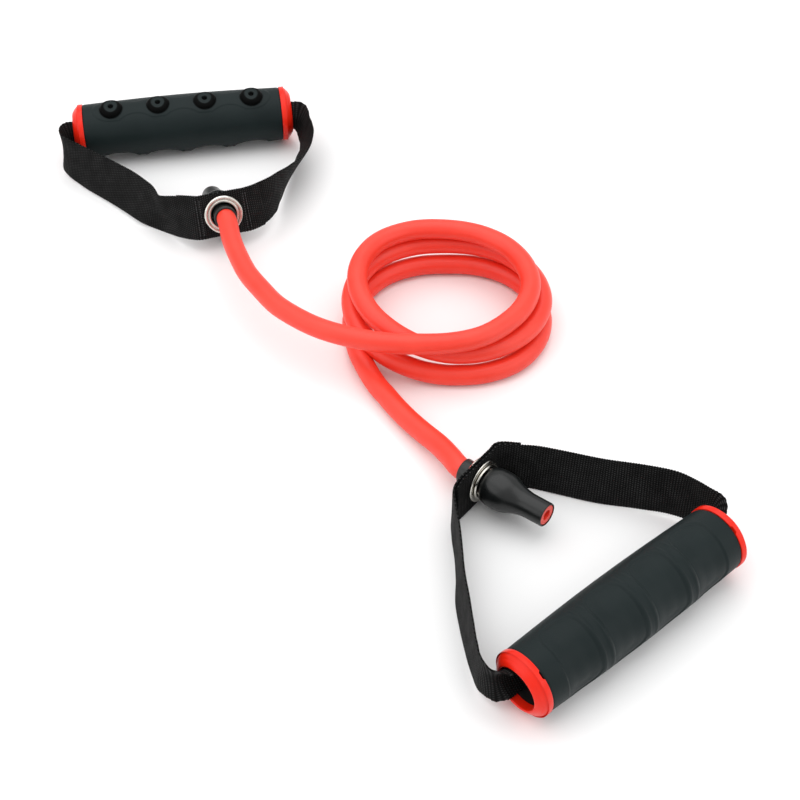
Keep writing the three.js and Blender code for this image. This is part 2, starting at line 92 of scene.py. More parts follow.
# A webbing station is (x, y, height, lean in degrees, curl) in its handle's frame: +Y points to the
# eyelet, lean tips the top edge inwards, and a curl of 1 is the curl inside the handle.
HANDLE_A = {
    "id": "a",
    "centre": (-0.1078, 0.1992),
    "axis_height": 0.0175,
    "turn": 189.03,
    "nub_angle": 80,
    "eyelet": (-0.0172, 0.098, 0.0208),
    "sleeve_turn": 8,
    "sleeve_tilt": -21.5,
    "first_layer": -1,
    "lap_start": [
        (0.0075, 0.0925, 0.0174, 13),
    ],
    "lap_finish": [
        (-0.0395, 0.0915, 0.0202, 16),
    ],
    "arms": [
        (-0.048, 0.0825, 0.0194, 3),
        (-0.055, 0.0705, 0.017, -13),
        (-0.062, 0.0555, 0.0142, -28),
        (-0.0675, 0.0415, 0.0128, -32),
        (-0.0715, 0.029, 0.0128, -28),
        (-0.0732, 0.0205, 0.0136, -18),
        (-0.0728, 0.0148, 0.0152, -9, 0.05),
        (-0.0712, 0.0115, 0.0166, -3, 0.25),
        (-0.0694, 0.01, 0.0173, 0, 0.6),
        (-0.0673, 0.0096, 0.0175, 0, 1),
        (-0.064, 0.00955, 0.0175, 0, 1),
        (-0.032, 0.00955, 0.0175, 0, 1),
        (0, 0.00955, 0.0175, 0, 1),
        (0.032, 0.00955, 0.0175, 0, 1),
        (0.064, 0.00955, 0.0175, 0, 1),
        (0.0672, 0.0096, 0.0175, 0, 1),
        (0.0697, 0.0104, 0.0175, 1, 0.55),
        (0.0725, 0.0128, 0.0171, 3, 0.18),
        (0.0733, 0.017, 0.0162, 6, 0),
        (0.0704, 0.022, 0.015, 9, 0),
        (0.065, 0.0278, 0.0142, 14),
        (0.057, 0.0363, 0.0136, 19),
        (0.0465, 0.0472, 0.0133, 22),
        (0.036, 0.0595, 0.0136, 25),
        (0.0268, 0.0725, 0.0142, 22),
        (0.0175, 0.0838, 0.0138, 2),
    ],
}
HANDLE_B = {
    "id": "b",
    "centre": (0.1261, -0.1704),
    "axis_height": 0.0178,
    "turn": 40.26,
    "nub_angle": -48,
    "eyelet": (0.005, 0.1007, 0.013),
    "sleeve_turn": 11,
    "sleeve_tilt": 3.2,
    "first_layer": 1,
    "lap_start": [
        (0.026, 0.0955, 0.0128, -10),
    ],
    "lap_finish": [
        (-0.015, 0.0962, 0.0129, 0),
    ],
    "arms": [
        (-0.0223, 0.0888, 0.0129, 2),
        (-0.0288, 0.0793, 0.0129, 3),
        (-0.0371, 0.0686, 0.0129, 4),
        (-0.046, 0.058, 0.0129, 7),
        (-0.054, 0.046, 0.0131, 7),
        (-0.0615, 0.0345, 0.0138, 5),
        (-0.068, 0.024, 0.0152, 2),
        (-0.0716, 0.0168, 0.0164, 0),
        (-0.0716, 0.0124, 0.0172, 0, 0.12),
        (-0.0699, 0.0101, 0.0176, 0, 0.5),
        (-0.0673, 0.0096, 0.0178, 0, 1),
        (-0.064, 0.00955, 0.0178, 0, 1),
        (-0.032, 0.00955, 0.0178, 0, 1),
        (0, 0.00955, 0.0178, 0, 1),
        (0.032, 0.00955, 0.0178, 0, 1),
        (0.064, 0.00955, 0.0178, 0, 1),
        (0.0672, 0.0096, 0.0178, 0, 1),
        (0.0696, 0.0102, 0.0175, 0, 0.6),
        (0.0714, 0.0124, 0.017, 0, 0.25),
        (0.072, 0.0168, 0.0164, -3, 0.08),
        (0.0716, 0.0235, 0.0155, -7, 0),
        (0.0683, 0.0335, 0.0149, -12),
        (0.06, 0.047, 0.0136, -15),
        (0.049, 0.0615, 0.0129, -16),
        (0.039, 0.0765, 0.0129, -15),
        (0.0315, 0.088, 0.0128, -13),
    ],
}

# The tube's route, from handle a's collar through the coil to handle b's collar.
LEAD_A = [
    (-0.071, 0.09, 0.026),
    (-0.068, 0.0765, 0.0256),
    (-0.063, 0.062, 0.0252),
    (-0.057, 0.048, 0.025),
    (-0.049, 0.035, 0.0253),
    (-0.04, 0.022, 0.0258),
    (-0.031, 0.013, 0.0264),
    (-0.021, 0.005, 0.027),
    (-0.013, 0, 0.0275),
    (-0.003, -0.0044, 0.0278),
    (0.008, -0.008, 0.028),
    (0.018, -0.01, 0.028),
    (0.031, -0.011, 0.028),
]
LEAD_B = [
    (0, 0.029, 0.0056),
    (0.003, 0.009, 0.0056),
    (0.007, -0.003, 0.0056),
    (0.014, -0.0187, 0.0056),
    (0.019, -0.0265, 0.0056),
    (0.0245, -0.0355, 0.0058),
    (0.031, -0.045, 0.0064),
    (0.038, -0.0545, 0.0076),
    (0.0455, -0.0645, 0.0093),
    (0.051, -0.074, 0.011),
    (0.0542, -0.0803, 0.012),
]
COIL_CENTRE = (0.052, 0.034)
COIL_START = -90  # degrees
COIL_STEP = 45
# The radius in millimetres at each step of the coil, top turn first, and the height of each turn.
COIL_TURNS = [
    [44.2, 41.5, 44.1, 46.5, 48.2, 53, 48.5, 42],
    [40, 45.1, 51, 51.7, 49.2, 52.5, 52.3, 49.1],
    [45.1, 50.1, 51.5, 49.1, 44.5, 48.3, 51.7],
]
COIL_HEIGHTS = [27.9, 16.7, 5.5]
COIL_DESCENT = [0, 0, 0, 0, 0, 0, 0.05, 0.5]  # share of the way down to the next turn


# ---- curves and frames ----

def spline(points, at, tension=None):
    """Points along a Catmull-Rom curve at shares of its stations: centripetal, or uniform with a tension."""
    p = np.asarray(points, float)
    p = np.vstack([2 * p[0] - p[1], p, 2 * p[-1] - p[-2]])
    place = np.clip(np.asarray(at, float), 0, 1) * (len(p) - 3)
    i = np.minimum(place.astype(int), len(p) - 4)
    u = (place - i)[:, None]
    a, b, c, d = p[i], p[i + 1], p[i + 2], p[i + 3]
    if tension is None:
        root = lambda v: np.maximum(np.linalg.norm(v, axis=1), 1e-9)[:, None] ** 0.5
        before, here, after = root(b - a), root(c - b), root(d - c)
        start = here * ((b - a) / before - (c - a) / (before + here) + (c - b) / here)
        end = here * ((c - b) / here - (d - b) / (here + after) + (d - c) / after)
    else:
        start, end = tension * (c - a), tension * (d - b)
    return b + start * u + (3 * (c - b) - 2 * start - end) * u**2 + (2 * (b - c) + start + end) * u**3


def even_shares(points, spacing):
    """Shares of a curve's stations that lie the same distance apart along it, and the curve's length."""
    dense = np.linspace(0, 1, 60 * len(points))
    line = spline(points, dense)
    travelled = np.concatenate([[0], np.cumsum(np.linalg.norm(np.diff(line, axis=0), axis=1))])
    count = max(2, round(travelled[-1] / spacing))
    return np.interp(np.linspace(0, travelled[-1], count + 1), travelled, dense), travelled[-1]


def unit(v):
    return v / np.linalg.norm(v, axis=-1, keepdims=True)


def handle_matrix(handle):
    """From a handle's own frame to the frame of the whole band."""
    x, y = handle["centre"]
    return Matrix.Translation((x, y, 0)) @ Matrix.Rotation(math.radians(handle["turn"]), 4, "Z")


def sleeve_direction(handle):
    """The sleeve's axis in the handle's frame, from the tube side to the tail."""
    turn, tilt = math.radians(handle["sleeve_turn"]), math.radians(handle["sleeve_tilt"])
    return Vector((math.sin(turn) * math.cos(tilt), -math.cos(turn) * math.cos(tilt), math.sin(tilt)))


def sleeve_matrix(handle):
    """Places a piece made about +Z on the sleeve's axis, with its zero at the middle of the webbing."""
    turn = Vector((0, 0, 1)).rotation_difference(sleeve_direction(handle)).to_matrix().to_4x4()
    return handle_matrix(handle) @ Matrix.Translation(handle["eyelet"]) @ turn


def grip_matrix(handle, end=1):
    """Places a piece made about +Z on the handle's axis, its +Z towards that end."""
    turn = Matrix.Rotation(end * math.pi / 2, 4, "Y")
    return handle_matrix(handle) @ Matrix.Translation((0, 0, handle["axis_height"])) @ turn


# ---- meshes ----

def mesh_object(name, vertices, faces, material, uv=None, sharp=40):
    """A smooth-shaded mesh with its edges sharp above an angle, and UVs in metres where they are given."""
    mesh = bpy.data.meshes.new(name)
    mesh.from_pydata(np.asarray(vertices).tolist(), [], [list(map(int, f)) for f in faces])
    mesh.validate()
    if uv is not None:
        layer = mesh.uv_layers.new(name="UVMap")
        corner = np.zeros(len(mesh.loops), np.int32)
        mesh.loops.foreach_get("vertex_index", corner)
        layer.data.foreach_set("uv", np.asarray(uv, np.float32)[corner].ravel())
    mesh.shade_smooth()
    mesh.set_sharp_from_angle(angle=math.radians(sharp))
    mesh.materials.append(material)
    piece = bpy.data.objects.new(name, mesh)
    bpy.context.scene.collection.objects.link(piece)
    return piece


def grid_faces(rows, columns, wrap_rows=False, wrap_columns=True):
    """Quads over a grid of vertices, row by row."""
    r = np.arange(rows if wrap_rows else rows - 1)
    c = np.arange(columns if wrap_columns else columns - 1)
    r, c = np.meshgrid(r, c, indexing="ij")
    r, c = r.ravel(), c.ravel()
    r2, c2 = (r + 1) % rows, (c + 1) % columns
    return np.stack([r * columns + c, r * columns + c2, r2 * columns + c2, r2 * columns + c], axis=1)


def fillet(corners, radius, steps=4):
    """A closed outline with its corners rounded."""
    corners = np.asarray(corners, float)
    rounded = []
    for before, corner, after in zip(np.roll(corners, 1, 0), corners, np.roll(corners, -1, 0)):
        back, on = before - corner, after - corner
        half = math.acos(np.clip(unit(back) @ unit(on), -0.9999, 0.9999)) / 2
        reach = min(radius / math.tan(half), 0.45 * np.linalg.norm(back), 0.45 * np.linalg.norm(on))
        start, end = corner + unit(back) * reach, corner + unit(on) * reach
        for t in np.linspace(0, 1, steps + 1):
            rounded.append((1 - t) ** 2 * start + 2 * t * (1 - t) * corner + t**2 * end)
    return np.array(rounded)


def turned(name, outline, matrix, material, segments=96, reshape=None):
    """A turned piece about +Z from a closed outline of (height, radius), anticlockwise, radius across."""
    outline = np.asarray(outline, float)
    angle = (np.arange(segments) * 2 * math.pi / segments)[None, :]
    height, radius = (np.repeat(outline[:, i : i + 1], segments, axis=1) for i in (0, 1))
    if reshape is not None:
        height = reshape(height, radius, angle)
    points = np.stack([radius * np.cos(angle), radius * np.sin(angle), height], axis=-1).reshape(-1, 3)
    points = points @ np.array(matrix.to_3x3()).T + np.array(matrix.translation)
    faces = grid_faces(len(outline), segments, wrap_rows=True)[:, ::-1]
    return mesh_object(name, points, faces, material)


def curved(points, steps=5):
    """A smooth run of outline points through a few given ones."""
    return list(map(tuple, spline(points, np.linspace(0, 1, (len(points) - 1) * steps + 1))))


def smooth_step(low, high, x):
    t = np.clip((x - low) / (high - low), 0, 1)
    return t * t * (3 - 2 * t)


# ---- materials ----

def new_material(name, **sockets):
    """A material on one Principled shader, with its uniform values set on the shader's own sockets."""
    material = bpy.data.materials.new(name)
    material.use_nodes = True
    shader = material.node_tree.nodes["Principled BSDF"]
    for socket, value in sockets.items():
        shader.inputs[socket.replace("_", " ")].default_value = value
    return material, shader


def node(material, kind, **settings):
    made = material.node_tree.nodes.new("ShaderNode" + kind)
    for key, value in settings.items():
        if key in made.inputs:
            made.inputs[key].default_value = value
        else:
            setattr(made, key, value)
    return made


def link(material, source, target):
    material.node_tree.links.new(source, target)


def math_node(material, operation, *operands):
    made = node(material, "Math", operation=operation)
    for socket, value in zip(made.inputs, operands):
        if isinstance(value, (int, float)):
            socket.default_value = value
        else:
            link(material, value, socket)
    return made.outputs[0]


def noise(material, scale, detail=3.0, coordinates="Object", stretch=(1, 1, 1)):
    """A noise value over the piece, in the piece's own coordinates."""
    place = node(material, "TexCoord")
    mapping = node(material, "Mapping")
    mapping.inputs["Scale"].default_value = stretch
    texture = node(material, "TexNoise", Scale=scale, Detail=detail)
    link(material, place.outputs[coordinates], mapping.inputs["Vector"])
    link(material, mapping.outputs[0], texture.inputs["Vector"])
    return texture.outputs["Fac"]


def ramp(material, value, stops):
    """Colours or greys by a value: stops are (place, colour)."""
    made = node(material, "ValToRGB")
    elements = made.color_ramp.elements
    while len(elements) < len(stops):
        elements.new(0.5)
    for element, (place, colour) in zip(elements, stops):
        element.position = place
        element.color = (*colour, 1)
    link(material, value, made.inputs["Fac"])
    return made.outputs["Color"]


def grey(value):
    return (value, value, value)


def bump(material, shader, height, depth, strength=1.0):
    made = node(material, "Bump", Strength=strength, Distance=depth)
    link(material, height, made.inputs["Height"])
    link(material, made.outputs["Normal"], shader.inputs["Normal"])


def vary(material, shader, value, colours, roughness):
    """Colour and roughness that change with one value over the surface."""
    link(material, ramp(material, value, list(zip((0.3, 0.7), colours))), shader.inputs["Base Color"])
    rough = ramp(material, value, list(zip((0.3, 0.7), map(grey, roughness))))
    link(material, rough, shader.inputs["Roughness"])


def tube_material():
    material, shader = new_material("red_tube_rubber", Subsurface_Weight=0.1, Subsurface_Scale=0.003)
    shader.inputs["Subsurface Radius"].default_value = (1.0, 0.25, 0.2)
    cloud = noise(material, 55, 4)
    vary(material, shader, cloud, [(0.82, 0.036, 0.016), (0.87, 0.048, 0.024)], [0.38, 0.46])
    streaks = noise(material, 1.0, 2, "UV", (60, 900, 1))
    grain = noise(material, 2600, 2)
    height = math_node(material, "ADD", streaks, math_node(material, "MULTIPLY", grain, 0.35))
    bump(material, shader, height, 0.00008, 0.5)
    return material


def black_rubber_material():
    material, shader = new_material("black_sleeve_rubber", Specular_IOR_Level=0.4)
    cloud = noise(material, 140, 4)
    vary(material, shader, cloud, [(0.004, 0.005, 0.005), (0.008, 0.009, 0.009)], [0.26, 0.34])
    bump(material, shader, noise(material, 2200, 3), 0.00006, 0.4)
    return material


def grip_material():
    """Soft-touch rubber with a fine grain, with painted shade on the flanks and in the dimples of the nubs,
    which are blacker and less shiny there.
    """
    material, shader = new_material("grey_grip_rubber")
    cloud = noise(material, 38, 5)
    soft = ramp(material, cloud, [(0.3, (0.0055, 0.0110, 0.0115)), (0.7, (0.0090, 0.0155, 0.0160))])
    # painted shade: the nubs' steep flanks and dimples, where shade falls, are mixed towards near black and
    # lose most of their specular
    flank = node(material, "Attribute", attribute_name="nub_painted_shade").outputs["Fac"]
    colour = node(material, "Mix", data_type="RGBA")
    link(material, flank, colour.inputs["Factor"])
    link(material, soft, colour.inputs["A"])
    colour.inputs["B"].default_value = (0.0012, 0.0014, 0.0014, 1)
    link(material, colour.outputs["Result"], shader.inputs["Base Color"])
    gloss = math_node(material, "SUBTRACT", 0.16, math_node(material, "MULTIPLY", flank, 0.12))
    link(material, gloss, shader.inputs["Specular IOR Level"])
    link(material, ramp(material, cloud, [(0.3, grey(0.46)), (0.7, grey(0.54))]), shader.inputs["Roughness"])
    bump(material, shader, noise(material, 1700, 4), 0.00016, 0.6)
    return material


def core_material():
    material, shader = new_material("black_core_plastic")
    vary(material, shader, noise(material, 90, 3), [grey(0.008), grey(0.014)], [0.35, 0.5])
    bump(material, shader, noise(material, 3, 2, stretch=(60, 900, 900)), 0.00005, 0.4)
    return material


def cap_material():
    material, shader = new_material("red_cap_plastic", Specular_IOR_Level=0.25)
    cloud = noise(material, 70, 4)
    vary(material, shader, cloud, [(0.75, 0.013, 0.003), (0.80, 0.020, 0.006)], [0.26, 0.34])
    bump(material, shader, noise(material, 1500, 3), 0.00005, 0.4)
    return material


def nickel_material():
    material, shader = new_material("nickel_plate", Metallic=1.0)
    vary(material, shader, noise(material, 260, 5), [(0.60, 0.57, 0.51), (0.78, 0.76, 0.71)], [0.12, 0.24])
    bump(material, shader, noise(material, 900, 6), 0.00004, 0.5)
    return material


def thread_material():
    material, shader = new_material("black_thread")
    fibres = noise(material, 900, 3)
    vary(material, shader, fibres, [(0.010, 0.010, 0.011), (0.040, 0.040, 0.042)], [0.5, 0.7])
    bump(material, shader, noise(material, 4000, 2), 0.00006, 0.8)
    return material


def webbing_material():
    """Plain-woven webbing: bricks of thread along it, with painted highlight on their raised crowns and
    painted shade in the gaps between them, and random patches of tone.
    """
    material, shader = new_material("black_webbing", Specular_IOR_Level=0.12)
    place = node(material, "UVMap")
    split = node(material, "SeparateXYZ")
    link(material, place.outputs["UV"], split.inputs[0])
    along = math_node(material, "DIVIDE", split.outputs["X"], WEAVE_PITCH)
    row = math_node(material, "FLOOR", along)
    odd = math_node(material, "MULTIPLY", math_node(material, "MODULO", row, 2.0), 0.5)
    across = math_node(material, "ADD", math_node(material, "DIVIDE", split.outputs["Y"], THREAD_PITCH), odd)
    fractions = [math_node(material, "FRACT", value) for value in (along, across)]
    from_middle = [math_node(material, "SUBTRACT", value, 0.5) for value in fractions]
    doubled = [math_node(material, "MULTIPLY", value, 2.0) for value in from_middle]
    u, v = (math_node(material, "POWER", value, 2.0) for value in doubled)
    dome = math_node(material, "ADD", math_node(material, "MULTIPLY", u, 0.7), v)
    patches = math_node(material, "MULTIPLY", noise(material, 160, 3), 0.5)
    tone = math_node(material, "ADD", dome, patches)
    # painted highlight on the raised crowns and painted shade in the low gaps, following the weave's relief;
    # the noise patches are random tone
    colour = ramp(material, tone, [(0.28, grey(0.030)), (0.52, grey(0.006)), (0.95, grey(0.0018))])
    link(material, colour, shader.inputs["Base Color"])
    link(material, ramp(material, tone, [(0.3, grey(0.5)), (0.8, grey(0.9))]), shader.inputs["Roughness"])
    height = math_node(material, "SUBTRACT", 1.0, math_node(material, "MINIMUM", dome, 1.2))
    bump(material, shader, height, 0.0003, 0.9)
    return material


# ---- the elastic tube ----

def along_sleeve(handle, places):
    """Points on a sleeve's axis."""
    matrix = sleeve_matrix(handle)
    return [tuple(matrix @ Vector((0, 0, place))) for place in places]


def coil_points(per_step=2):
    """The coil's centreline: its turns from the top one down, as points a part of a step apart."""
    radii = [radius for turn in COIL_TURNS for radius in turn]
    drops = [(turn, share) for turn in range(len(COIL_TURNS)) for share in COIL_DESCENT][: len(radii)]
    below = [*COIL_HEIGHTS[1:], COIL_HEIGHTS[-1]]
    heights = [COIL_HEIGHTS[turn] + share * (below[turn] - COIL_HEIGHTS[turn]) for turn, share in drops]
    shares = np.linspace(0, 1, (len(radii) - 1) * per_step + 1)
    smooth = spline(np.column_stack([radii, heights]), shares, tension=0.5) * MM
    angles = np.radians(COIL_START + shares * (len(radii) - 1) * COIL_STEP)
    x = COIL_CENTRE[0] + smooth[:, 0] * np.cos(angles)
    y = COIL_CENTRE[1] + smooth[:, 0] * np.sin(angles)
    return list(zip(x, y, smooth[:, 1]))


def swept_tube(name, line, radii, material, sides=40):
    """A round tube with closed ends along a line of points, and UVs in metres along and round it."""
    tangents = unit(np.gradient(line, axis=0))
    normal = unit(np.cross(tangents[0], (0, 0, 1)))
    travelled = np.concatenate([[0], np.cumsum(np.linalg.norm(np.diff(line, axis=0), axis=1))])
    angle = np.arange(sides) * 2 * math.pi / sides
    rings, uv = [], []
    for point, tangent, radius, distance in zip(line, tangents, radii, travelled):
        normal = unit(normal - tangent * (normal @ tangent))
        side = np.cross(tangent, normal)
        rings.append(point + radius * (np.outer(np.cos(angle), normal) + np.outer(np.sin(angle), side)))
        uv.append(np.column_stack([np.full(sides, distance), np.abs(angle - math.pi) * radius]))
    faces = list(grid_faces(len(line), sides))
    faces.append(list(range(sides))[::-1])
    faces.append(list(range(sides * (len(line) - 1), sides * len(line))))
    return mesh_object(name, np.vstack(rings), faces, material, np.vstack(uv))


def build_tube(material):
    """The tube from inside one sleeve, along its lead, round the coil and out to the other sleeve."""
    inner = TAIL_END - MOUTH_DEPTH
    inside = [inner, 24 * MM, 19 * MM, BULB_CENTRE, 8 * MM, 2 * MM, -4 * MM, COLLAR_END]
    route = [
        *along_sleeve(HANDLE_A, inside),
        *LEAD_A,
        *coil_points(),
        *LEAD_B,
        *along_sleeve(HANDLE_B, inside[::-1]),
    ]
    shares, length = even_shares(route, 2.2 * MM)
    line = spline(route, shares)
    line[:, 2] = np.maximum(line[:, 2], TUBE_RADIUS + 0.1 * MM)
    from_end = np.minimum(np.linspace(0, length, len(line)), np.linspace(length, 0, len(line)))
    place = inner - from_end
    squeezed = smooth_step(COLLAR_END - 1 * MM, COLLAR_END + 1.5 * MM, place)
    radii = TUBE_RADIUS + (GRIPPED_RADIUS - TUBE_RADIUS) * squeezed
    swelling = np.clip(1 - ((place - BULB_CENTRE) / (6.5 * MM)) ** 2, 0, 1) ** 0.5
    radii = radii + (BULGE_RADIUS - GRIPPED_RADIUS) * swelling
    tube = swept_tube("elastic_tube", line, radii, material)
    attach(tube, "band")
    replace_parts(tube, "tube_lead_a", "tube_coil", "tube_lead_b")
    return tube, line


# ---- sleeves, stoppers and eyelets ----

def end_sleeve(handle, material):
    """The rubber sleeve: a collar, a bulb with a steep shoulder over the stopper, and a plain tail."""
    bore = GRIPPED_RADIUS + GAP
    shoulder = [(4.2, 6.5), (4.6, 7.5), (5.6, 8.75), (8.5, 9.75), (13, 10.05)]
    neck = [(17.5, 9.4), (21.5, 7.85), (25.5, 6.6), (29, 6.15)]
    hollow = [(23, 5.5), (20.5, 6.6), (17, 7.5), (13.5, 7.7), (10, 7.3), (6.5, 6), (5, 5.5)]
    outline = [
        (COLLAR_END, bore + 0.1 * MM),
        (COLLAR_END, 6.05 * MM),
        (COLLAR_END + 0.25 * MM, 6.35 * MM),
        (COLLAR_END + 0.7 * MM, 6.45 * MM),
        (COLLAR_END + 3 * MM, 6.3 * MM),
        (3.9 * MM, 6.3 * MM),
        *curved(np.array(shoulder + neck) * MM),
        (TAIL_END - 0.7 * MM, 6.1 * MM),
        (TAIL_END - 0.15 * MM, 5.98 * MM),
        (TAIL_END, 5.75 * MM),
        (TAIL_END, bore),
        *curved(np.array(hollow) * MM, 3),
        (COLLAR_END + 1 * MM, bore),
    ]
    sleeve = turned(f"rubber_sleeve_{handle['id']}", outline, sleeve_matrix(handle), material)
    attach(sleeve, "band")
    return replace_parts(sleeve, f"end_sleeve_{handle['id']}")


def tube_mouth(handle, material):
    """The tube's open end, just inside the sleeve's tail."""
    outline = [
        (TAIL_END - MOUTH_DEPTH + GAP, TUBE_BORE_RADIUS),
        (TAIL_END - MOUTH_DEPTH + GAP, GRIPPED_RADIUS),
        (TAIL_END - 0.3 * MM, GRIPPED_RADIUS),
        (TAIL_END - 0.3 * MM, TUBE_BORE_RADIUS),
    ]
    rounded = fillet(outline, 0.35 * MM)
    mouth = turned(f"tube_mouth_{handle['id']}", rounded, sleeve_matrix(handle), material, 64)
    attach(mouth, "band")
    return mouth


def stopper(handle, material):
    """The ball inside the tube, with its mould line round the middle."""
    angles = np.linspace(-math.pi / 2 + 0.02, math.pi / 2 - 0.02, 25)
    radius = STOPPER_RADIUS + 0.08 * MM * np.exp(-((angles / 0.05) ** 2))
    outline = np.column_stack([BULB_CENTRE + radius * np.sin(angles), radius * np.cos(angles)])
    ball = turned(f"stopper_{handle['id']}", outline, sleeve_matrix(handle), material, 48)
    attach(ball, "band")
    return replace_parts(ball, f"stopper_ball_{handle['id']}")


def eyelet(handle, material):
    """The rolled flange with its two ridges on the tube's side, and the barrel clinched over the washer."""
    hole, flange, barrel = EYELET_HOLE_RADIUS, EYELET_FLANGE_RADIUS, EYELET_BARREL_RADIUS
    clinch = EYELET_SEAT + 1.05 * MM
    outline = [
        (-EYELET_SEAT - 0.55 * MM, hole),
        (-EYELET_SEAT - 1.5 * MM, hole + 0.5 * MM),
        (-EYELET_SEAT - 1.5 * MM, hole + 1.7 * MM),
        (-EYELET_SEAT - 0.75 * MM, hole + 2.1 * MM),
        (-EYELET_SEAT - 1.45 * MM, hole + 2.5 * MM),
        (-EYELET_SEAT - 1.45 * MM, flange - 0.6 * MM),
        (-EYELET_SEAT - 0.7 * MM, flange),
        (-EYELET_SEAT - 0.1 * MM, flange),
        (-EYELET_SEAT, flange - 0.5 * MM),
        (-EYELET_SEAT, barrel),
        (clinch, barrel),
        (clinch, barrel + 1.5 * MM),
        (clinch + 0.4 * MM, barrel + 1.75 * MM),
        (clinch + 1.0 * MM, barrel + 1.0 * MM),
        (clinch + 1.0 * MM, barrel - 0.1 * MM),
        (clinch + 0.4 * MM, hole),
    ]
    ring = turned(f"grommet_{handle['id']}", fillet(outline, 0.5 * MM, 5), sleeve_matrix(handle), material)
    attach(ring, f"loop_{handle['id']}")
    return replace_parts(ring, f"eyelet_{handle['id']}")


def washer(handle, material):
    inner, outer = EYELET_BARREL_RADIUS + GAP, EYELET_FLANGE_RADIUS
    outline = [
        (EYELET_SEAT, inner),
        (EYELET_SEAT, outer),
        (EYELET_SEAT + 0.45 * MM, outer),
        (EYELET_SEAT + 0.8 * MM, outer - 0.6 * MM),
        (EYELET_SEAT + 0.8 * MM, inner),
    ]
    rounded = fillet(outline, 0.3 * MM)
    ring = turned(f"grommet_washer_{handle['id']}", rounded, sleeve_matrix(handle), material)
    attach(ring, f"loop_{handle['id']}")
    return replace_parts(ring, f"eyelet_washer_{handle['id']}")


# ---- webbing ----

def lap_stations(handle, layer):
    """The overlapped ends: a straight stretch through the eyelet, and the webbing to each side of it."""
    x, y, z = handle["eyelet"]
    turn = math.radians(handle["sleeve_turn"])
    straight = [
        (x + along * math.cos(turn), y + along * math.sin(turn), z, -handle["sleeve_tilt"])
        for along in EYELET_SPAN
    ]
    return [(*row, 0, layer) for row in [*handle["lap_start"], *straight, *handle["lap_finish"]]]


def loop_stations(handle):
    """Every station of the loop as (x, y, z, lean, curl, layer), with the curl per metre."""
    arms = [(*row, *(0,) * (6 - len(row))) for row in handle["arms"]]
    stations = np.array(
        [*lap_stations(handle, handle["first_layer"]), *arms, *lap_stations(handle, -handle["first_layer"])],
        float,
    )
    stations[:, 4] *= BORE_CURL
    return stations


def web_frames(handle, shares):
    """Positions, width directions, inward normals and curls of the webbing, in the handle's frame."""
    stations = loop_stations(handle)
    line = spline(stations[:, :3], shares)
    nudge = 1e-4
    tangent = unit(spline(stations[:, :3], shares + nudge) - spline(stations[:, :3], shares - nudge))
    pose = spline(stations[:, 3:], shares, tension=0.3)
    lean = np.radians(pose[:, 0])[:, None]
    inward = unit(np.cross((0, 0, 1), tangent))
    across = np.cos(lean) * unit(np.cross(tangent, inward)) + np.sin(lean) * inward
    normal = unit(np.cross(across, tangent))
    line = line - LAYER_OFFSET * pose[:, 2:] * normal
    return line, across, normal, np.maximum(pose[:, 1], WEB_CUP)


def to_band(points, handle):
    matrix = handle_matrix(handle)
    return np.asarray(points) @ np.array(matrix.to_3x3()).T + np.array(matrix.translation)


def web_surface(handle, shares, widths, lift):
    """Points over the webbing, one row for each share and one column for each width."""
    line, across, normal, curl = (v[:, None] for v in web_frames(handle, shares))
    curl = curl[..., None]
    angle = widths[..., None] * curl
    middle = line + across * np.sin(angle) / curl - normal * (1 - np.cos(angle)) / curl
    facing = normal * np.cos(angle) + across * np.sin(angle)
    return middle + facing * lift[..., None]


